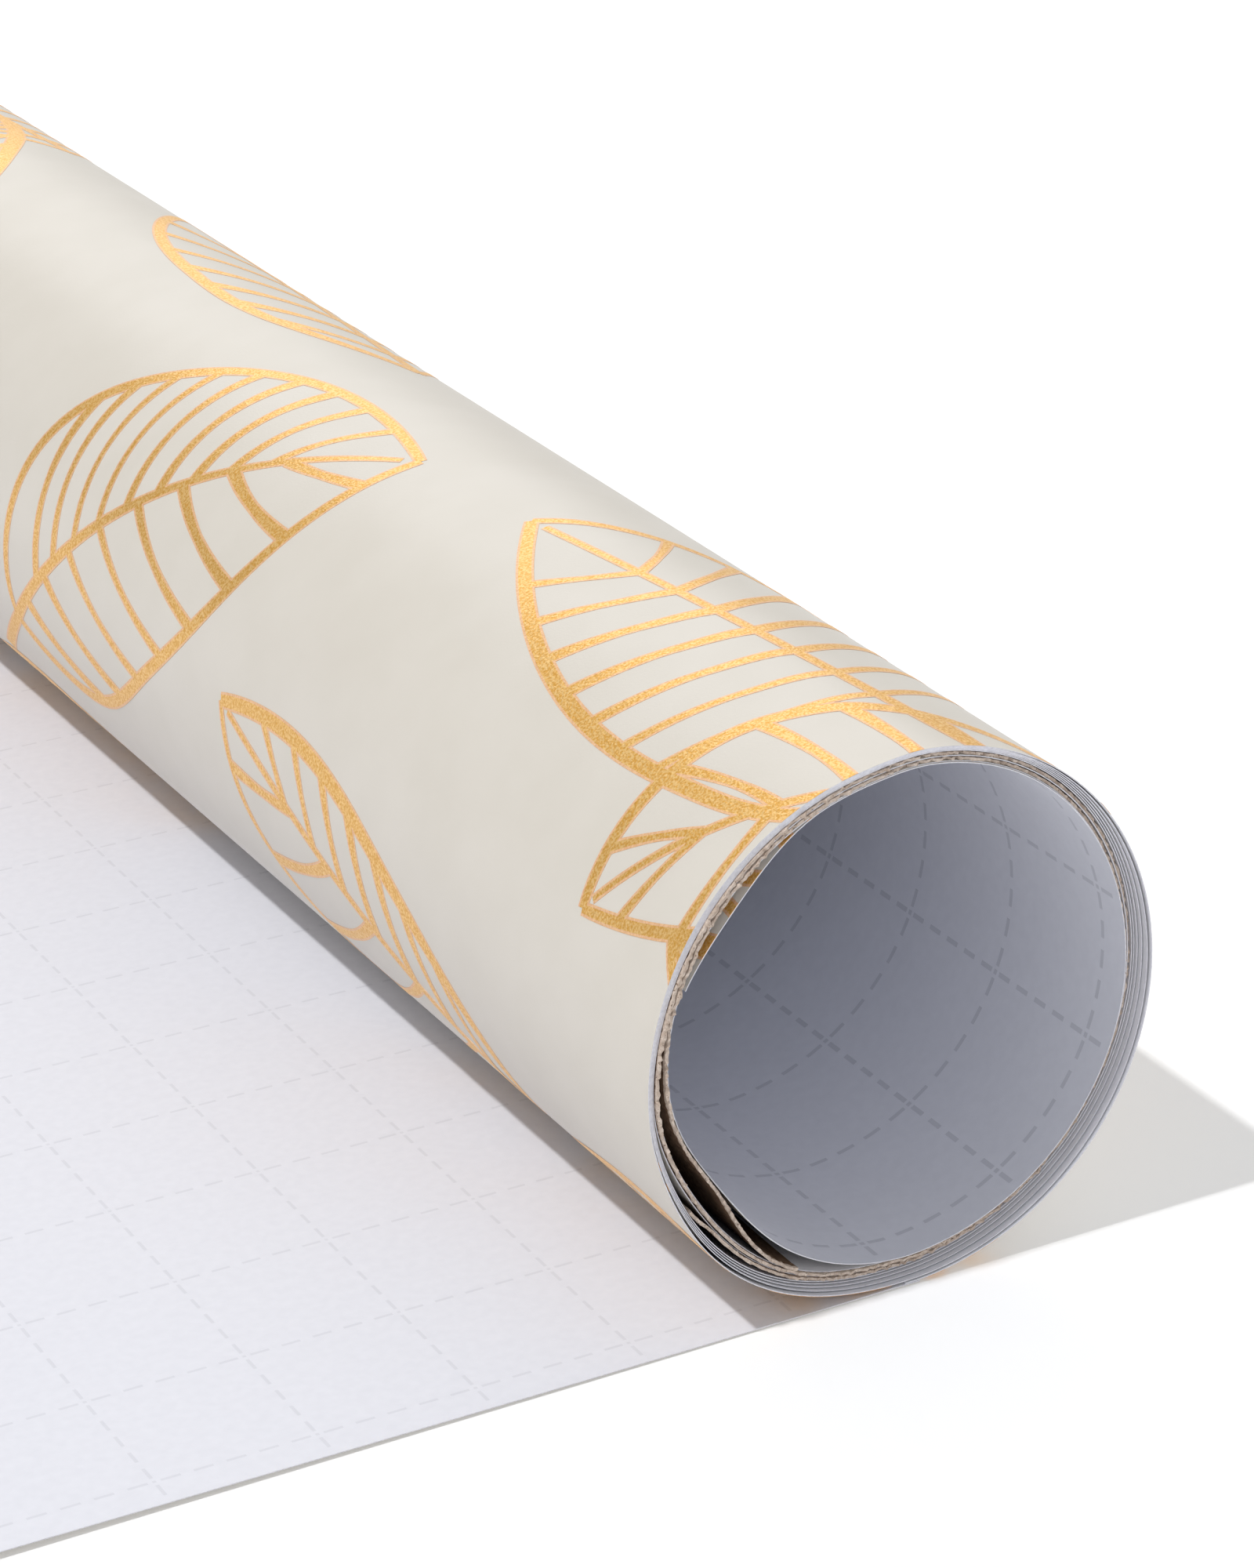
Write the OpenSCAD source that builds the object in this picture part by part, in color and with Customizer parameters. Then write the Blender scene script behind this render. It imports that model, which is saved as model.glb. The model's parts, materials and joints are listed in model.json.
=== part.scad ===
// Coreless roll of gift wrapping paper with its loose end drawn out flat.
// The web lies face down on the table, comes in under the roll at the nip and winds
// up anticlockwise seen from the front. Two turns of kraft card stiffen the inside.
// The roll's axis runs along Y, the front end is at -Y and the loose end is at -X.

/* [Paper] */
// Width of the paper, and so the length of the roll
web_w = 700; // [200:10:1000]
// Thickness of the paper
paper_t = 0.12; // [0.10:0.01:0.14]

/* [Roll] */
// Outer radius of the roll
roll_r = 34.5; // [30:0.5:45]
// Growth in radius over one turn where paper lies on paper
turn_pitch = 0.26; // [0.22:0.02:0.3]
// Half turns wound with that pitch, an odd number
plain_halves = 11; // [5:2:15]
// Arc of the innermost turn, which ends free
inner_arc = 300; // [280:5:310]

/* [Card liner] */
// Thickness of the kraft card
card_t = 0.5; // [0.4:0.05:0.6]
// Growth in radius over one turn where card lies between the paper
card_pitch = 1.0; // [1.0:0.05:1.2]
// How far the card stops short of each end of the roll
card_inset = 1; // [0.5:0.5:10]

/* [Loose end] */
// Length of paper from the free edge to the nip
tail_l = 170; // [120:10:300]
// Length of the stretch at the nip, which travels along with the roll
lead_l = 20; // [10:5:60]
// How far that stretch reaches under the roll past the nip
lead_lap = 2; // [1:0.5:4]
// Height of the roll above that stretch
nip_gap = 0.03; // [0.02:0.01:0.05]

/* [Hidden] */
$fn = 96;

card_turns = 2;
card_halves = 2 * card_turns;
// The card needs wide steps for one half turn before its own first half turn
wide_halves = card_halves + 1;
wound_halves = plain_halves + wide_halves;
first_card_half = plain_halves + 2;
card_gap = (card_pitch - paper_t - card_t) / 2;

// The middle of the whole outline is at X = 0
axis_x = (tail_l - roll_r) / 2;
axis_z = paper_t + nip_gap + roll_r;

// Half turns are counted from the nip inwards. Even ones are on the right, odd ones on
// the left, and each has its own centre, so that they meet with a common tangent.
function half_step(h) = (h < plain_halves ? turn_pitch : card_pitch) / 2;
function half_r(h) = h == 0 ? roll_r : half_r(h - 1) - half_step(h - 1);
function half_z(h) = h == 0 ? axis_z
    : half_z(h - 1) + (h % 2 == 1 ? half_step(h - 1) : -half_step(h - 1));

inner_r = half_r(wound_halves);
inner_z = half_z(wound_halves);

// Extrudes an outline drawn in X and Z along the length l of the roll
module along_roll(l) {
    translate([0, l / 2, 0]) rotate([90, 0, 0]) linear_extrude(height = l) children();
}

// Half of a ring, on the right or on the left of the axis, from radius r - t to r
module half_ring(r, t, z, right) {
    translate([axis_x, z]) intersection() {
        difference() {
            circle(r = r);
            circle(r = r - t);
        }
        translate([right ? 0 : -2 * r, -2 * r]) square([2 * r, 4 * r]);
    }
}

// Outline of the free innermost turn, anticlockwise from the bottom
module inner_turn() {
    cut_angle = inner_arc - 90;
    far = 2 * inner_r;
    translate([axis_x, inner_z]) difference() {
        circle(r = inner_r);
        circle(r = inner_r - paper_t);
        polygon([
            [0, 0],
            [far * cos(cut_angle), far * sin(cut_angle)],
            [-far, -far],
            [0, -far]
        ]);
    }
}

// The free sheet, lying flat with its reverse side up
module paper_tail() {
    color("lavender")
        translate([axis_x - tail_l, -web_w / 2, 0])
            cube([tail_l - lead_l, web_w, paper_t]);
}

// The stretch of the web at the nip, between the flat sheet and the roll
module paper_lead() {
    color("lavender")
        translate([axis_x - lead_l, -web_w / 2, 0])
            cube([lead_l + lead_lap, web_w, paper_t]);
}

// The wound web, one half turn after another from the nip inwards
module paper_winding() {
    color("ivory") along_roll(web_w) {
        for (h = [0 : wound_halves - 1])
            half_ring(half_r(h), paper_t, half_z(h), h % 2 == 0);
        inner_turn();
    }
}

// Kraft card wound in between the inner turns of paper
module card_liner() {
    color("tan") along_roll(web_w - 2 * card_inset) {
        for (h = [first_card_half : first_card_half + card_halves - 1])
            half_ring(half_r(h) + card_gap + card_t, card_t, half_z(h), h % 2 == 0);
    }
}

paper_tail();
paper_lead();
paper_winding();
card_liner();
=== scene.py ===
"""A roll of wrapping paper with its end drawn out over the table.

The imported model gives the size, the nip, where the sheet leaves the roll, and the joints.
Lengths of the object are millimetres until add_piece() turns them into metres. The floor,
the lights and the materials are in metres.
A point of the wound web is named by its turning angle `turn`, in degrees from the nip: it
grows along the sheet from the nip inwards, and one full turn is 360. A point of the flat
print is (across, along): across from the near edge, along from the nip.
"""

import json
import math

import bpy
import numpy as np
from mathutils import Matrix, Vector
from mathutils.geometry import delaunay_2d_cdt


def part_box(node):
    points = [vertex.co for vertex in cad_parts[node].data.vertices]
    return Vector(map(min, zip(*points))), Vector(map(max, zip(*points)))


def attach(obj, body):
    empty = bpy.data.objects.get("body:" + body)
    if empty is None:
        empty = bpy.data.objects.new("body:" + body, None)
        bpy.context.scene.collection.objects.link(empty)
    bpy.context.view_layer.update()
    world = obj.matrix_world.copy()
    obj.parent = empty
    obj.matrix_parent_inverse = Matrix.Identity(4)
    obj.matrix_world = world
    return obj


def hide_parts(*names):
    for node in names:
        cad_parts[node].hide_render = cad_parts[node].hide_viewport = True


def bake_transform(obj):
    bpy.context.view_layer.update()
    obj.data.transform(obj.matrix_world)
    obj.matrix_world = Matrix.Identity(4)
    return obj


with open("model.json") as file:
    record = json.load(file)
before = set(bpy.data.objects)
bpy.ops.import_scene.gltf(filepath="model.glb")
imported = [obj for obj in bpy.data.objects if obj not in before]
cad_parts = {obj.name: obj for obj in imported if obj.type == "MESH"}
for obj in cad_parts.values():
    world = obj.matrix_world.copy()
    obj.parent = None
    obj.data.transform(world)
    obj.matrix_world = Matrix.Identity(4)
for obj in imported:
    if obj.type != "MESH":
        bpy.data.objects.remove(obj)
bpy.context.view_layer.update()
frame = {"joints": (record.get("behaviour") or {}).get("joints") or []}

MM = 0.001

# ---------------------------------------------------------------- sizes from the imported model

spin = next(j for j in frame["joints"] if j["name"] == "roll_spin")
AXIS_X = spin["pos_m"][0] / MM
AXIS_Z = spin["pos_m"][2] / MM
WEB_LOW, WEB_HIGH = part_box("paper_winding")
TAIL_LOW, TAIL_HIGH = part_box("paper_tail")
LEAD_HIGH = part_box("paper_lead")[1]
NEAR_Y = WEB_LOW.y / MM
WEB_WIDTH = (WEB_HIGH.y - WEB_LOW.y) / MM
ROLL_R = AXIS_Z - WEB_LOW.z / MM
PAPER_T = TAIL_HIGH.z / MM
CARD_T = 0.38

# ---------------------------------------------------------------- camera

VIEW_AZIMUTH = math.radians(-28.17)
VIEW_ELEVATION = math.radians(24.02)
VIEW_ROLL = math.radians(-1.16)
VIEW_POINT = (-190.3, -764.3, 283.0)
LENS = 108.2
SENSOR = 36.0


def add_camera():
    """The camera stands left of the near end and looks down the roll."""
    data = bpy.data.cameras.new("camera")
    data.lens = LENS
    data.sensor_fit = "VERTICAL"
    data.sensor_height = SENSOR
    data.clip_end = 50.0
    camera = bpy.data.objects.new("camera", data)
    bpy.context.scene.collection.objects.link(camera)
    back = Vector((math.sin(VIEW_AZIMUTH) * math.cos(VIEW_ELEVATION),
                   -math.cos(VIEW_AZIMUTH) * math.cos(VIEW_ELEVATION),
                   math.sin(VIEW_ELEVATION)))
    right = Vector((math.cos(VIEW_AZIMUTH), math.sin(VIEW_AZIMUTH), 0))
    up = back.cross(right)
    tilted_right = right * math.cos(VIEW_ROLL) + up * math.sin(VIEW_ROLL)
    tilted_up = up * math.cos(VIEW_ROLL) - right * math.sin(VIEW_ROLL)
    turn = Matrix((tilted_right, tilted_up, back)).transposed().to_4x4()
    camera.matrix_world = Matrix.Translation(Vector(VIEW_POINT) * MM) @ turn
    bpy.context.scene.camera = camera


# ---------------------------------------------------------------- shape helpers

def smooth(x, low, high):
    """0 before low, 1 after high, and a smooth rise between."""
    t = np.clip((x - low) / (high - low), 0, 1)
    return t * t * (3 - 2 * t)


def bump(x, centre, half, height):
    """A round hump of that height, gone at half on each side of centre."""
    t = np.clip((x - centre) / half, -1, 1)
    return height * np.cos(t * np.pi / 2) ** 2


# ---------------------------------------------------------------- the wound web

TURN_STEP = 2.5
LAST_TURN = 3128.0
SNUG = 0.02
LOOSE = 0.14
CARD_FROM = 2100.0
CARD_TO = 2853.0
CARD_ROOM = CARD_T + 0.09
DRIFT = 2.4
DRIFT_FROM = 300.0
DRIFT_PEAK = 4.3 * 360
DRIFT_SIDE = 320.0
# the first turn's shape: a dip on the right, a flat over the top left, a belly near the table
DIP_AT, DIP_HALF, DIP = 95, 60, 0.25
FLAT = 0.42
BELLY_AT, BELLY_HALF, BELLY = 324, 38, 0.8
TUCK_FROM = 312
# the wider gaps of the near end: turning angle, half width in degrees, height
GAPS = ((668, 46, 0.25), (2108, 37, 1.0), (2826, 58, 2.3), (3109, 30, 1.35))
# how much of those gaps is gone at the far end
GAPS_LOST = 0.4


def outer_radius(turn, share):
    """The outer face over the first turn: a loose turn that sags out over the table. At
    its end it is tucked in to where the second turn starts, under the first."""
    dip = bump(turn, DIP_AT, DIP_HALF, DIP)
    flat = FLAT * (smooth(turn, 174, 190) - smooth(turn, 250, 290))
    belly = bump(turn, BELLY_AT, BELLY_HALF, BELLY)
    tuck = (PAPER_T + slack(np.array([360.0]), share)) * smooth(turn, TUCK_FROM, 360)
    return ROLL_R - dip - flat + belly - tuck


def slack(turn, share):
    """The air between a turn and the one outside it. share is 1 at the near end."""
    local = turn % 360
    ease = 1 - smooth(local, 100, 172) + smooth(local, 265, 340)
    layer = np.where(turn < 6 * 360, 1.0, 0.5)
    air = SNUG + LOOSE * ease * layer
    air = air + bump(turn, 450, 120, 0.1)
    for centre, half, height in GAPS:
        air = air + share * bump(turn, centre, half, height)
    card = smooth(turn, CARD_FROM + 6, CARD_FROM + 50) - smooth(turn, CARD_TO, CARD_TO + 27)
    return air + CARD_ROOM * card


def web_radius(turns, share):
    """The middle of the sheet at each turning angle, laid turn inside turn."""
    step = turns[1] - turns[0]
    back = int(round(360 / step))
    radius = outer_radius(turns, share) - PAPER_T / 2
    for i in range(back, len(turns)):
        radius[i] = radius[i - back] - PAPER_T - slack(turns[i], share)
    return radius


def drift(turn):
    """How far the near edge of a turn lies behind that of the first: most in the middle
    turns, which are wound askew and lie deepest at the lower right."""
    way = np.maximum(turn - DRIFT_FROM, 0) / DRIFT_PEAK
    lean = 0.5 + 0.5 * np.cos(np.radians(turn - 90 - DRIFT_SIDE))
    return DRIFT * (1 - (1 - way) ** 2) * lean


def spiral_xz(turns, radius):
    """Points of the section, in the frame's X and Z."""
    angle = np.radians(turns - 90)
    return np.stack([AXIS_X + radius * np.cos(angle), AXIS_Z + radius * np.sin(angle)], -1)


def normals_of(line):
    """Unit normals of a section line that point away from the roll's axis."""
    along = np.gradient(line, axis=0)
    along /= np.linalg.norm(along, axis=1)[:, None]
    return np.stack([along[:, 1], -along[:, 0]], -1)


def arc_length(line):
    steps = np.linalg.norm(np.diff(line, axis=0), axis=1)
    return np.concatenate([[0], np.cumsum(steps)])


def add_piece(name, verts, faces, materials, slots=None, uv=None, smooth_faces=True):
    """A mesh object from points in millimetres."""
    mesh = bpy.data.meshes.new(name)
    mesh.from_pydata((np.asarray(verts) * MM).tolist(), [], faces)
    for material in materials:
        mesh.materials.append(material)
    if slots is not None:
        mesh.polygons.foreach_set("material_index", slots)
    if uv is not None:
        layer = mesh.uv_layers.new(name="web")
        corners = np.zeros(len(mesh.loops), np.int32)
        mesh.loops.foreach_get("vertex_index", corners)
        layer.data.foreach_set("uv", (uv[corners] * MM).astype(np.float32).ravel())
    if smooth_faces:
        mesh.polygons.foreach_set("use_smooth", [True] * len(mesh.polygons))
    mesh.update()
    piece = bpy.data.objects.new(name, mesh)
    bpy.context.scene.collection.objects.link(piece)
    return piece


def sheet_solid(name, outer, inner, flat, materials, fringe=0):
    """A closed sheet from two grids of points, [column][row], where the way along a column
    step crossed with the way along a row step points from outer to inner. The outer and the
    inner face get the first two materials. The rim gets the third, and so do the first and
    last fringe rows. flat is each grid point's place on the flat sheet."""
    columns, rows = outer.shape[:2]
    size = columns * rows
    index = np.arange(size).reshape(columns, rows)
    verts = np.concatenate([outer.reshape(-1, 3), inner.reshape(-1, 3)])
    faces, slots = [], []

    def quad(a, b, c, d, slot):
        faces.append((int(a), int(b), int(c), int(d)))
        slots.append(slot)

    for i in range(columns - 1):
        for j in range(rows - 1):
            a, b, c, d = index[i, j], index[i + 1, j], index[i + 1, j + 1], index[i, j + 1]
            torn = j < fringe or j >= rows - 1 - fringe
            quad(d, c, b, a, 2 if torn else 0)
            quad(a + size, b + size, c + size, d + size, 2 if torn else 1)
    for i in range(columns - 1):
        a, b = index[i, 0], index[i + 1, 0]
        quad(a, b, b + size, a + size, 2)
        a, b = index[i, -1], index[i + 1, -1]
        quad(b, a, a + size, b + size, 2)
    for j in range(rows - 1):
        a, b = index[0, j], index[0, j + 1]
        quad(b, a, a + size, b + size, 2)
        a, b = index[-1, j], index[-1, j + 1]
        quad(a, b, b + size, a + size, 2)
    uv = np.concatenate([flat.reshape(-1, 2), flat.reshape(-1, 2)])
    piece = add_piece(name, verts, faces, materials, slots, uv)
    sharp = piece.data.attributes.new("sharp_edge", "BOOLEAN", "EDGE")
    flat_faces = 2 * (columns - 1) * (rows - 1)
    rim = {tuple(sorted(key)) for face in faces[flat_faces:]
           for key in zip(face, face[1:] + face[:1])}
    sharp.data.foreach_set("value", [tuple(sorted(e.vertices)) in rim
                                     for e in piece.data.edges])
    return piece


ROWS = (0, 1.5, 5, 14, 35, 80, 150, 240, 350, 460, 550, 620, 665, 686, 695, 698.5, 700)


def row_share(across):
    """How much of the near end's gaps is left at this place along the roll."""
    return 1 - GAPS_LOST * across / WEB_WIDTH


def add_wound_web(materials):
    """The web on the roll, from the nip to its free edge inside the bore."""
    turns = np.arange(0, LAST_TURN + TURN_STEP, TURN_STEP)
    turns[-1] = LAST_TURN
    outer = np.zeros((len(turns), len(ROWS), 3))
    inner = np.zeros_like(outer)
    flat = np.zeros((len(turns), len(ROWS), 2))
    for j, across in enumerate(ROWS):
        line = spiral_xz(turns, web_radius(turns, row_share(across)))
        normal = normals_of(line)
        for grid, side in ((outer, 1), (inner, -1)):
            section = line + normal * side * PAPER_T / 2
            grid[:, j, 0] = section[:, 0]
            grid[:, j, 1] = NEAR_Y + across + drift(turns)
            grid[:, j, 2] = section[:, 1]
        flat[:, j, 0] = arc_length(line)
        flat[:, j, 1] = across
    return sheet_solid("wound_web", outer, inner, flat, materials)


# ---------------------------------------------------------------- the card liner

CARD_STEP = 0.75
CARD_OUT = 0.12
CARD_TILT = 0.45
CARD_LEANS_OUT = 200.0
CARD_START_LIFT = 9.0
CARD_END_LIFT = 37.0
CARD_CLEAR = 0.02
CARD_TAPER = 0.1
CARD_UNEVEN = 0.035
FUZZ = 0.16
FUZZ_INSIDE = 0.4
CARD_ROWS = (0, 0.5, 1.6, 6, 40, 150, 350, 550, 660, 694, 698, 699, 699.5)


def add_card(materials):
    """The kraft liner, wound in with the inner turns of the paper."""
    rng = np.random.default_rng(11)
    turns = np.arange(0, LAST_TURN, CARD_STEP)
    first = int(CARD_FROM / CARD_STEP)
    last = int(CARD_TO / CARD_STEP)
    picked = np.arange(first, last + 1)
    back = int(360 / CARD_STEP)
    angle = turns[picked]
    outer = np.zeros((len(picked), len(CARD_ROWS), 3))
    inner = np.zeros_like(outer)
    flat = np.zeros((len(picked), len(CARD_ROWS), 2))
    room = PAPER_T / 2 + CARD_T / 2 + CARD_CLEAR
    askew = CARD_TILT * np.cos(np.radians(angle - 90 - CARD_LEANS_OUT))
    for j, across in enumerate(CARD_ROWS):
        web = web_radius(turns, row_share(across))
        on_web = web[picked] + room + 0.2 * bump(angle, 2800, 60, 1.0)
        under = web[picked - back] - room
        lift = 1 - smooth(angle, CARD_FROM, CARD_FROM + CARD_START_LIFT)
        lift = lift + smooth(angle, CARD_TO - CARD_END_LIFT, CARD_TO)
        middle = on_web + (under - on_web) * lift
        line = spiral_xz(angle, np.minimum(middle, under))
        normal = normals_of(line)
        at_edge = across in (CARD_ROWS[0], CARD_ROWS[-1])
        torn = 1.0 if at_edge else 0
        if across in (CARD_ROWS[1], CARD_ROWS[-2]):
            torn = FUZZ_INSIDE
        ragged = rng.normal(0, FUZZ * torn, len(picked))
        for grid, side in ((outer, 1), (inner, -1)):
            spread = CARD_T / 2 * (1 - CARD_TAPER * at_edge)
            spread = spread + rng.normal(0, CARD_UNEVEN, len(picked))
            section = line + normal * (side * spread)[:, None]
            grid[:, j, 0] = section[:, 0]
            grid[:, j, 1] = NEAR_Y + across + drift(angle) - CARD_OUT - askew + ragged
            grid[:, j, 2] = section[:, 1]
        flat[:, j, 0] = arc_length(line)
        flat[:, j, 1] = across
    # the torn fringe at both ends is as pale as the rim
    return sheet_solid("card_liner_sheet", outer, inner, flat, materials, fringe=1)


# ---------------------------------------------------------------- the drawn-out tail

CURL = 1.1
CURL_LENGTH = 26.0
NEAR_CURL = 1.45
NEAR_CURL_LENGTH = 30.0
NEAR_CURL_BEFORE = 80.0
NEAR_CURL_GONE = 8.0
TAIL_COLUMNS = 69
TAIL_ROWS = (0, 1, 4, 9, 15, 22, 30, 80, 180, 350, 520, 620, 680, 696, 699, 700.0)


def add_tail(materials):
    """The flat sheet on the table, from its free edge to just past the nip."""
    start = TAIL_LOW.x / MM
    stop = LEAD_HIGH.x / MM
    columns = np.linspace(start, stop, TAIL_COLUMNS)
    x, across = np.meshgrid(columns, np.array(TAIL_ROWS), indexing="ij")
    lift = CURL * (1 - smooth(x, start - CURL_LENGTH, start + CURL_LENGTH)) * 2
    # the near edge stands off the table too, less and less toward the roll
    near = 1 - smooth(across, -NEAR_CURL_LENGTH, NEAR_CURL_LENGTH)
    toward_roll = smooth(x, start - NEAR_CURL_BEFORE, AXIS_X - NEAR_CURL_GONE)
    lift = lift + NEAR_CURL * near * 2 * (1 - toward_roll)
    top = np.stack([x, NEAR_Y + across, PAPER_T + lift], -1)
    under = np.stack([x, NEAR_Y + across, lift], -1)
    flat = np.stack([x, across], -1)
    # the printed side is underneath, so it is the outer grid
    return sheet_solid("tail_sheet", under, top, flat, materials)


# ---------------------------------------------------------------- the printed leaves

class Leaf:
    """One leaf of the print: a bowed midrib and two rounded halves.

    base and tip are (across, along). halves are the widths on the left and right of the
    way from base to tip. fullness is under 1 where the leaf is broadest near its base.
    A vein is (where it leaves the midrib, where it meets the margin), 0 base to 1 tip.
    All leaves are plain ones of this kind, with their own place, size, bow and line widths.
    """

    def __init__(self, base, tip, halves, veins, bow=0.0, fullness=1.0, lines=(1.6, 1.6),
                 stem=0.0):
        self.base = np.array(base, float)
        self.tip = np.array(tip, float)
        way = self.tip - self.base
        self.length = np.linalg.norm(way)
        self.way = way / self.length
        self.left = np.array([-self.way[1], self.way[0]])
        self.halves = halves
        self.veins = veins
        self.bow = bow
        self.fullness = fullness
        self.lines = lines
        self.stem = stem

    def midrib(self, t):
        t = np.asarray(t, float)
        bowed = self.bow * np.sin(np.pi * t)
        return (self.base + np.multiply.outer(t * self.length, self.way)
                + np.multiply.outer(bowed, self.left))

    def margin(self, t, side):
        t = np.asarray(t, float)
        half = self.halves[0] if side > 0 else self.halves[1]
        width = half * (1 - np.abs(2 * t ** self.fullness - 1) ** ROUNDNESS)
        return self.midrib(t) + np.multiply.outer(width * side, self.left)

    def strokes(self):
        """The lines of the leaf, each a list of points and their half widths."""
        found = []
        t = np.linspace(0, 1, 41)
        eased = (1 - np.cos(np.pi * t)) / 2
        for side, line in zip((1, -1), self.lines):
            found.append((self.margin(eased, side), line * (0.42 + 0.12 * np.sin(np.pi * t))))
        found.append((self.midrib(t * 0.97), MIDRIB * (0.62 - 0.3 * t)))
        if self.stem:
            end = self.base - self.way * self.stem
            found.append((np.linspace(end, self.base, 8), np.full(8, MIDRIB * 0.6)))
        for side, veins in zip((1, -1), self.veins):
            for k, (root, reach) in enumerate(veins):
                a = self.midrib(root)
                c = self.margin(reach, side)
                b = (a + c) / 2 - self.way * VEIN_ARCH * np.linalg.norm(c - a)
                s = np.linspace(0, 1, 11)[:, None]
                curve = a * (1 - s) ** 2 + b * 2 * s * (1 - s) + c * s ** 2
                width = VEIN * (0.5 + 0.08 * math.sin(7.3 * k + self.length))
                found.append((curve, width * (0.85 + 0.3 * np.abs(s[:, 0] - 0.5) * 2)))
        return found


ROUNDNESS = 2.7
MIDRIB = 2.0
VEIN = 1.9
VEIN_ARCH = 0.12
RIM = 0.33
CORE_MIN = 0.15
FOIL_STEP = 1.8
FOIL_LIFT = 0.05
FOIL_UNDER = 0.012
REPEAT_ACROSS = 300.0
REPEAT_ALONG = 108.0
PRINT_TO = 358
PRINT_INSET = 2.0
# foil that shows in the gaps of the near end: from and to in turning angle, and the lean
GAP_BARS = ((627, 635, 3), (645, 647, -2), (651, 653, 1),
            (3082, 3085, 2), (3088, 3092, -2), (3099, 3103, 3), (3106.5, 3110, -1),
            (3115, 3121, 2))
GAP_SPANS = ((600, 680), (3070, 3124))
GAP_DEPTH = 8.0


def even_veins(count, root, reach, step):
    """Side veins by one plain rule: the same step between all of them, from the base on."""
    return tuple((root + step * k, reach + step * k) for k in range(count))


# for the large leaf at the near edge, whose base lies under another leaf and has no veins
CLOSE = even_veins(7, 0.28, 0.38, 0.08)
EVEN = even_veins(7, 0.10, 0.24, 0.105)
FINE = even_veins(8, 0.08, 0.24, 0.10)
SWEPT = even_veins(9, 0.15, 0.32, 0.075)
OPEN = even_veins(5, 0.16, 0.36, 0.14)


def print_leaves():
    """One repeat of the print."""
    return [
        Leaf((-10, 98), (88, 110), (27, 29), (CLOSE, CLOSE), fullness=0.6, lines=(2.4, 1.9)),
        Leaf((-22, 92), (21, 147), (21, 21), (OPEN, OPEN), fullness=0.6, lines=(2.0, 2.3)),
        Leaf((-40, 166), (3, 143), (4, 4), ((), ()), lines=(2.2, 2.0)),
        Leaf((193, 170), (116, 112), (24, 25), (SWEPT, FINE), bow=2, fullness=0.9,
             lines=(2.1, 2.2), stem=20),
        Leaf((44, 188), (118, 156), (21, 13), (OPEN, EVEN), bow=-2, fullness=0.8,
             lines=(1.6, 2.6)),
        Leaf((156, 92), (250, 85), (17, 16), (EVEN, EVEN), lines=(2.2, 1.6)),
        Leaf((258, 131), (316, 97), (12, 11.5), (EVEN, EVEN), lines=(2.0, 3.0)),
        Leaf((-14, 198), (50, 212), (20, 22), (EVEN, EVEN), lines=(1.8, 1.8)),
        Leaf((24, 18), (96, 62), (16, 21), (FINE, SWEPT), bow=2, lines=(1.8, 2.4)),
        Leaf((150, 14), (92, 50), (18, 13), (EVEN, EVEN), bow=-2, lines=(2.4, 1.6), stem=10),
        Leaf((172, 58), (238, 22), (22, 19), (FINE, SWEPT), fullness=0.8, lines=(1.8, 2.0)),
        Leaf((232, 196), (160, 205), (14, 13), (EVEN, EVEN), bow=2, lines=(2.8, 1.6)),
        Leaf((278, 196), (224, 143), (19, 24), (SWEPT, FINE), bow=-2, lines=(1.8, 2.0),
             stem=14),
        Leaf((296, 28), (258, 62), (11, 12), (EVEN, EVEN), lines=(2.2, 1.6)),
    ]


def strip_quads(points, half):
    """Quads along a line: corner points, and faces as indices into them."""
    along = np.gradient(points, axis=0)
    along /= np.maximum(np.linalg.norm(along, axis=1), 1e-9)[:, None]
    normal = np.stack([-along[:, 1], along[:, 0]], -1)
    left = points + normal * half[:, None]
    right = points - normal * half[:, None]
    count = len(points)
    corners = np.concatenate([left, right])
    faces = [(i, i + count, i + count + 1, i + 1) for i in range(count - 1)]
    return corners, faces


def resample(points, half, step):
    """The same line with points about a step apart, so that the foil can bend with the paper."""
    length = arc_length(points)
    count = max(3, int(round(length[-1] / step)) + 1)
    at = np.linspace(0, length[-1], count)
    fine = np.stack([np.interp(at, length, points[:, k]) for k in (0, 1)], -1)
    return fine, np.interp(at, length, half)


def foil_plan(strokes, low, high):
    """Joins overlapping strokes into one flat mesh inside the corners low and high.
    Returns its points, its triangles, and 0 for foil or 1 for rim for each triangle."""
    corners, faces, kinds = [], [], []
    total = 0
    for points, half in strokes:
        fine, half = resample(points, half, FOIL_STEP)
        if fine[:, 0].max() < low[0] - 3 or fine[:, 0].min() > high[0] + 3:
            continue
        if fine[:, 1].max() < low[1] - 3 or fine[:, 1].min() > high[1] + 3:
            continue
        for kind, widths in ((0, np.maximum(half - RIM, CORE_MIN)), (1, half)):
            local, quads = strip_quads(fine, widths)
            corners.extend(Vector(p) for p in local)
            faces.extend([[i + total for i in q] for q in quads])
            kinds.extend([kind] * len(quads))
            total += len(local)
    page = [(low[0], low[1]), (high[0], low[1]), (high[0], high[1]), (low[0], high[1])]
    corners.extend(Vector(p) for p in page)
    faces.append([total, total + 1, total + 2, total + 3])
    kinds.append(2)
    points, _, triangles, _, _, sources = delaunay_2d_cdt(corners, [], faces, 1, 1e-5)
    kept, slots = [], []
    for triangle, source in zip(triangles, sources):
        seen = {kinds[k] for k in source}
        if 2 in seen and len(seen) > 1:
            kept.append(tuple(triangle))
            slots.append(0 if 0 in seen else 1)
    return np.array([tuple(p) for p in points]), kept, slots


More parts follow.
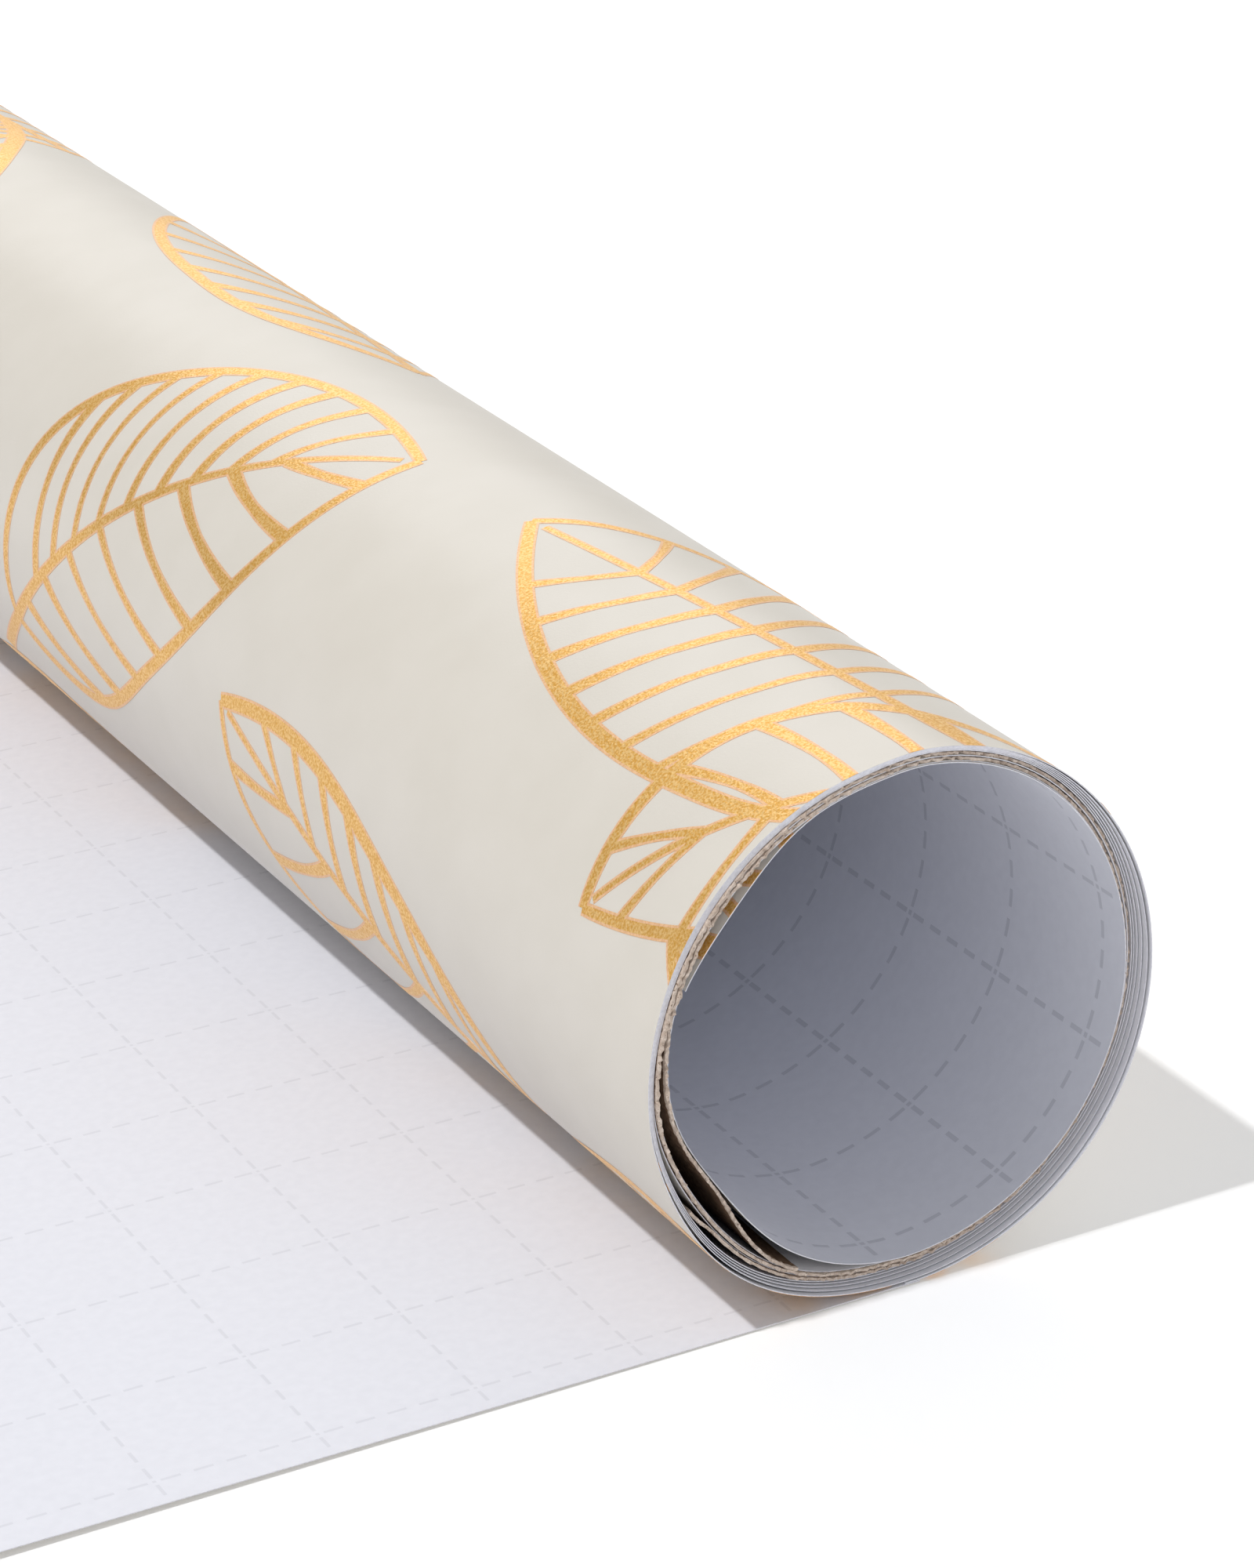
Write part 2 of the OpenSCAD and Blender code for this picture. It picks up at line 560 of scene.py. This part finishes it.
def web_surface():
    """A function from (across, along, lift) on the flat print to the frame, in millimetres."""
    turns = np.arange(0, LAST_TURN, 0.5)
    line = spiral_xz(turns, web_radius(turns, 1.0))
    normal = normals_of(line)
    length = arc_length(line)

    def place(across, along, lift):
        turn = np.interp(along, length, turns)
        x, z, nx, nz = (np.interp(along, length, column) for column in
                        (line[:, 0], line[:, 1], normal[:, 0], normal[:, 1]))
        out = PAPER_T / 2 + lift
        return np.stack([x + nx * out, NEAR_Y + across + drift(turn), z + nz * out], -1)

    def along_of(turn):
        return float(np.interp(turn, turns, length))

    return place, along_of


def shell_of(flat, triangles, slots, place):
    """Closes the flat foil into a thin raised shell on the paper."""
    used = sorted({i for t in triangles for i in t})
    renumber = {old: new for new, old in enumerate(used)}
    flat = flat[used]
    count = len(used)
    top = place(flat[:, 0], flat[:, 1], FOIL_LIFT)
    under = place(flat[:, 0], flat[:, 1], FOIL_UNDER)
    faces, kinds, edges = [], [], {}
    for triangle, slot in zip(triangles, slots):
        a, b, c = (renumber[i] for i in triangle)
        faces.append((a, b, c))
        faces.append((a + count, c + count, b + count))
        kinds.extend([slot, slot])
        for edge in ((a, b), (b, c), (c, a)):
            edges[edge] = slot
    for (a, b), slot in edges.items():
        if (b, a) not in edges:
            faces.append((b, a, a + count, b + count))
            kinds.append(1)
    return np.concatenate([top, under]), faces, kinds


def add_foil(materials):
    """The gold line work: the outer turn, and what shows of it in the gaps of the near end."""
    place, along_of = web_surface()
    outer_turn = along_of(PRINT_TO)
    strokes = []
    for k in (-1, 0, 1, 2):
        for shift in (-2, -1, 0, 1):
            for leaf in print_leaves():
                move = np.array([k * REPEAT_ACROSS, k * REPEAT_ALONG + shift * outer_turn])
                for points, half in leaf.strokes():
                    strokes.append((points + move, half))
    parts = [foil_plan(strokes, (0.0, PRINT_INSET), (WEB_WIDTH, outer_turn))]
    bars = []
    for start, end, lean in GAP_BARS:
        a, b = along_of(start), along_of(end)
        half = np.full(6, (b - a) / 2)
        middle = (a + b) / 2
        bars.append((np.linspace((-3, middle - lean / 2), (9, middle + lean), 6), half))
    for low, high in GAP_SPANS:
        parts.append(foil_plan(bars, (0.0, along_of(low)), (GAP_DEPTH, along_of(high))))
    verts, faces, kinds = [], [], []
    total = 0
    for flat, triangles, slots in parts:
        points, quads, kind = shell_of(flat, triangles, slots, place)
        verts.append(points)
        faces.extend(tuple(i + total for i in face) for face in quads)
        kinds.extend(kind)
        total += len(points)
    return add_piece("foil_print", np.concatenate(verts), faces, materials, kinds,
                     smooth_faces=False)


# ---------------------------------------------------------------- materials

class Look:
    """A Principled material and short ways to add nodes to it."""

    def __init__(self, name, colour, roughness, **sockets):
        self.material = bpy.data.materials.new(name)
        self.material.use_nodes = True
        self.tree = self.material.node_tree
        self.shader = self.tree.nodes["Principled BSDF"]
        self.shader.inputs["Base Color"].default_value = (*colour, 1)
        self.shader.inputs["Roughness"].default_value = roughness
        for socket, value in sockets.items():
            self.shader.inputs[socket.replace("_", " ")].default_value = value

    def node(self, kind, **settings):
        made = self.tree.nodes.new(kind)
        for key, value in settings.items():
            setattr(made, key, value)
        return made

    def link(self, a, b):
        self.tree.links.new(a, b)

    def math(self, operation, a, b=0.0):
        made = self.node("ShaderNodeMath", operation=operation)
        for socket, value in zip(made.inputs, (a, b)):
            if isinstance(value, (int, float)):
                socket.default_value = value
            else:
                self.link(value, socket)
        return made.outputs[0]

    def place(self, source="Object"):
        return self.node("ShaderNodeTexCoord").outputs[source]

    def split(self, vector):
        made = self.node("ShaderNodeSeparateXYZ")
        self.link(vector, made.inputs[0])
        return made.outputs

    def noise(self, scale, detail=3.0, stretch=None):
        """A noise over the object, scale in cycles a metre."""
        vector = self.place()
        if stretch:
            mapping = self.node("ShaderNodeMapping")
            mapping.inputs["Scale"].default_value = stretch
            self.link(vector, mapping.inputs["Vector"])
            vector = mapping.outputs[0]
        made = self.node("ShaderNodeTexNoise")
        made.inputs["Scale"].default_value = scale
        made.inputs["Detail"].default_value = detail
        self.link(vector, made.inputs["Vector"])
        return made.outputs["Fac"]

    def mix(self, factor, first, second):
        """first where factor is 0 and second where it is 1."""
        made = self.node("ShaderNodeMix", data_type="RGBA")
        sockets = [s for s in made.inputs if s.enabled]
        for socket, value in zip(sockets, (factor, first, second)):
            if isinstance(value, tuple):
                socket.default_value = (*value, 1)
            elif isinstance(value, (int, float)):
                socket.default_value = value
            else:
                self.link(value, socket)
        return next(s for s in made.outputs if s.enabled)

    def ramp(self, value, low, high):
        made = self.node("ShaderNodeMapRange")
        made.inputs["From Min"].default_value = low
        made.inputs["From Max"].default_value = high
        self.link(value, made.inputs["Value"])
        return made.outputs[0]

    def colour(self, source):
        self.link(source, self.shader.inputs["Base Color"])

    def bump(self, height, strength, depth):
        made = self.node("ShaderNodeBump")
        made.inputs["Strength"].default_value = strength
        made.inputs["Distance"].default_value = depth
        self.link(height, made.inputs["Height"])
        self.link(made.outputs[0], self.shader.inputs["Normal"])


PRINT_CREAM = (0.72, 0.675, 0.60)
REVERSE = (0.80, 0.81, 0.875)
GRID_INK = (0.60, 0.605, 0.66)
CELL = 0.020
DASHES = 5.0
DASH_FROM = 0.2
WOUND_LINE = 0.016
WOUND_INK = 0.72
FLAT_LINE = 0.011
FLAT_INK = 0.36
GRID_FROM_EDGE = 0.0048
GRID_FROM_AXIS = 14.9
BORE_LINE_ANGLE = 15


def dashed_grid(look, first, second, line_half):
    """A mask of the cutting grid from two coordinates in cells. The lines run along whole
    numbers. Each line has five dashes to a cell, and a dot where two lines cross."""
    def line(value):
        wrapped = look.math("FRACT", look.math("ADD", value, 0.5))
        away = look.math("ABSOLUTE", look.math("SUBTRACT", wrapped, 0.5))
        return look.math("LESS_THAN", away, line_half)

    def dash(value):
        wrapped = look.math("FRACT", look.math("MULTIPLY", value, DASHES))
        inside = look.math("ABSOLUTE", look.math("SUBTRACT", wrapped, 0.5))
        return look.math("LESS_THAN", inside, 0.5 - DASH_FROM)

    line_a, line_b = line(first), line(second)
    one = look.math("MULTIPLY", line_a, dash(second))
    two = look.math("MULTIPLY", line_b, dash(first))
    dot = look.math("MULTIPLY", line_a, line_b)
    return look.math("MAXIMUM", look.math("MAXIMUM", one, two), dot)


def print_paper():
    look = Look("print_paper", PRINT_CREAM, 0.42, Specular_IOR_Level=0.45)
    tone = look.ramp(look.noise(90, 2), 0.35, 0.65)
    look.colour(look.mix(tone, (0.71, 0.665, 0.59), (0.73, 0.685, 0.612)))
    look.bump(look.noise(2600, 2), 0.22, 0.00006)
    return look.material


def reverse_paper(name, coordinates, line_half, ink_share):
    """The back of the paper. coordinates(look) gives the two coordinates in cells."""
    look = Look(name, REVERSE, 0.62, Specular_IOR_Level=0.3)
    first, second = coordinates(look)
    fibre = look.ramp(look.noise(700, 4), 0.3, 0.7)
    ground = look.mix(fibre, (0.80, 0.805, 0.865), (0.83, 0.835, 0.895))
    ink = look.math("MULTIPLY", dashed_grid(look, first, second, line_half), ink_share)
    look.colour(look.mix(ink, ground, GRID_INK))
    look.bump(look.noise(1800, 3), 0.15, 0.00005)
    return look.material


def tail_grid(look):
    x, y, _ = look.split(look.place())
    shift_x = (AXIS_X % (CELL / MM) - GRID_FROM_AXIS) * MM
    shift_y = NEAR_Y * MM + GRID_FROM_EDGE
    return (look.math("DIVIDE", look.math("SUBTRACT", x, shift_x), CELL),
            look.math("DIVIDE", look.math("SUBTRACT", y, shift_y), CELL))


def web_grid(look):
    along, across, _ = look.split(look.place("UV"))
    return (look.math("DIVIDE", look.math("SUBTRACT", along, BORE_LINE), CELL),
            look.math("DIVIDE", look.math("SUBTRACT", across, GRID_FROM_EDGE), CELL))


def paper_edge():
    look = Look("paper_edge", (0.8, 0.79, 0.83), 0.8, Specular_IOR_Level=0.2)
    fibre = look.ramp(look.noise(2400, 3), 0.3, 0.7)
    look.colour(look.mix(fibre, (0.7, 0.69, 0.74), (0.86, 0.85, 0.89)))
    return look.material


def kraft(name, dark, light):
    look = Look(name, light, 0.9, Specular_IOR_Level=0.1)
    fibre = look.ramp(look.noise(1500, 5), 0.3, 0.7)
    fleck = look.ramp(look.noise(3800, 2), 0.62, 0.72)
    ground = look.mix(fibre, dark, light)
    look.colour(look.mix(fleck, ground, (0.2, 0.13, 0.09)))
    look.bump(look.noise(2500, 4), 0.6, 0.0002)
    return look.material


def foil(name, low, high, roughness, metal):
    look = Look(name, high, roughness, Metallic=metal)
    grain = look.ramp(look.noise(3000, 2), 0.4, 0.6)
    look.colour(look.mix(grain, low, high))
    look.bump(look.noise(2800, 2), 0.7, 0.00012)
    return look.material


def bore_line():
    """How far along the web the grid line at BORE_LINE_ANGLE in the bore lies, in metres."""
    _, along_of = web_surface()
    return along_of(8 * 360 + BORE_LINE_ANGLE + 90) * MM


# ---------------------------------------------------------------- floor and light

KEY_ELEVATION = math.radians(60.8)
KEY_STRENGTH = 1.68
KEY_WIDTH = math.radians(2.0)
SKY_STRENGTH = 0.46
SKY_LOW = 0.38
SKY_RIGHT = 1.15
SKY_FADE = (0.1, 0.65)
RIGHT_FADE = (0.0, 0.8)
FLOOR_REACH = 12.0
FLOOR_Z = -0.00025
FLOOR_GLOW = 0.14
NEUTRAL = (1.0, 1.0, 1.0)
COOL = (0.72, 0.82, 1.0)
# name, place, size, power, colour
SOFT_LIGHTS = (("back_soft", (0.8, 1.8, 1.2), 1.5, 12.0, NEUTRAL),
               ("front_soft", (-0.5, -2.2, 0.9), 1.2, 5.0, COOL))


def add_floor():
    look = Look("table_white", (0.95, 0.95, 0.95), 0.9, Specular_IOR_Level=0.1,
                Emission_Color=(1, 1, 1, 1), Emission_Strength=FLOOR_GLOW)
    look.colour(look.mix(look.noise(3, 2), (0.948, 0.948, 0.948), (0.952, 0.952, 0.952)))
    mesh = bpy.data.meshes.new("floor")
    corners = ((-1, -1), (1, -1), (1, 1), (-1, 1))
    mesh.from_pydata([(a * FLOOR_REACH, b * FLOOR_REACH, FLOOR_Z) for a, b in corners],
                     [], [(0, 1, 2, 3)])
    mesh.materials.append(look.material)
    floor = bpy.data.objects.new("floor", mesh)
    bpy.context.scene.collection.objects.link(floor)
    return floor


def add_lights():
    """A key from the upper left, square to the roll, a big soft light over the back, a
    cool one in front, and the studio around them."""
    key = bpy.data.lights.new("key", "SUN")
    key.energy = KEY_STRENGTH
    key.angle = KEY_WIDTH
    lamp = bpy.data.objects.new("key", key)
    toward = Vector((-math.cos(KEY_ELEVATION), 0, math.sin(KEY_ELEVATION)))
    lamp.rotation_euler = toward.to_track_quat("Z", "Y").to_euler()
    bpy.context.scene.collection.objects.link(lamp)

    for name, place, size, power, colour in SOFT_LIGHTS:
        soft = bpy.data.lights.new(name, "AREA")
        soft.shape = "SQUARE"
        soft.size = size
        soft.energy = power
        soft.color = colour
        lamp = bpy.data.objects.new(name, soft)
        lamp.location = place
        lamp.rotation_euler = Vector(place).to_track_quat("Z", "Y").to_euler()
        bpy.context.scene.collection.objects.link(lamp)

    world = bpy.data.worlds.new("studio")
    world.use_nodes = True
    nodes, links = world.node_tree.nodes, world.node_tree.links
    background = nodes["Background"]
    background.inputs["Strength"].default_value = SKY_STRENGTH
    # bright overhead, dim low down, and a white backdrop on the right at every height
    place = nodes.new("ShaderNodeTexCoord")
    height = nodes.new("ShaderNodeSeparateXYZ")
    fade = nodes.new("ShaderNodeMapRange")
    fade.interpolation_type = "SMOOTHSTEP"
    fade.inputs["From Min"].default_value = SKY_FADE[0]
    fade.inputs["From Max"].default_value = SKY_FADE[1]
    fade.inputs["To Min"].default_value = SKY_LOW
    fade.inputs["To Max"].default_value = 1.0
    links.new(place.outputs["Generated"], height.inputs[0])
    links.new(height.outputs[2], fade.inputs["Value"])
    backdrop = nodes.new("ShaderNodeMapRange")
    backdrop.interpolation_type = "SMOOTHSTEP"
    backdrop.inputs["From Min"].default_value = RIGHT_FADE[0]
    backdrop.inputs["From Max"].default_value = RIGHT_FADE[1]
    backdrop.inputs["To Max"].default_value = SKY_RIGHT
    links.new(height.outputs[0], backdrop.inputs["Value"])
    brighter = nodes.new("ShaderNodeMath")
    brighter.operation = "MAXIMUM"
    links.new(fade.outputs[0], brighter.inputs[0])
    links.new(backdrop.outputs[0], brighter.inputs[1])
    links.new(brighter.outputs[0], background.inputs["Color"])
    bpy.context.scene.world = world


# ---------------------------------------------------------------- put together

add_camera()
bpy.context.scene.view_settings.view_transform = "Standard"
floor = add_floor()
add_lights()

BORE_LINE = bore_line()
cream, edge = print_paper(), paper_edge()
# the card's kraft is much darker than plain kraft: partly its own brown, partly painted shade
# standing in for the dark of the deep gaps it lines
card = kraft("kraft_card_darkened_as_gap_shade", (0.12, 0.07, 0.045), (0.22, 0.14, 0.09))
card_rim = kraft("kraft_rim", (0.50, 0.39, 0.31), (0.74, 0.63, 0.54))

wound_back = reverse_paper("reverse_paper_wound", web_grid, WOUND_LINE, WOUND_INK)
web = add_wound_web([cream, wound_back, edge])
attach(web, "winding")
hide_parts("paper_winding")

liner = add_card([card, card, card_rim])
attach(liner, "winding")
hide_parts("card_liner")

gold = add_foil([foil("foil_gold", (0.84, 0.44, 0.08), (1.0, 0.66, 0.26), 0.42, 0.6),
                 foil("foil_rim", (0.86, 0.5, 0.26), (0.95, 0.6, 0.34), 0.45, 0.3)])
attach(gold, "winding")

flat_back = reverse_paper("reverse_paper_flat", tail_grid, FLAT_LINE, FLAT_INK)
tail = add_tail([cream, flat_back, edge])
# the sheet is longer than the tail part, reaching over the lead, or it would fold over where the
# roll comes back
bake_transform(tail)
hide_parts("paper_tail", "paper_lead")
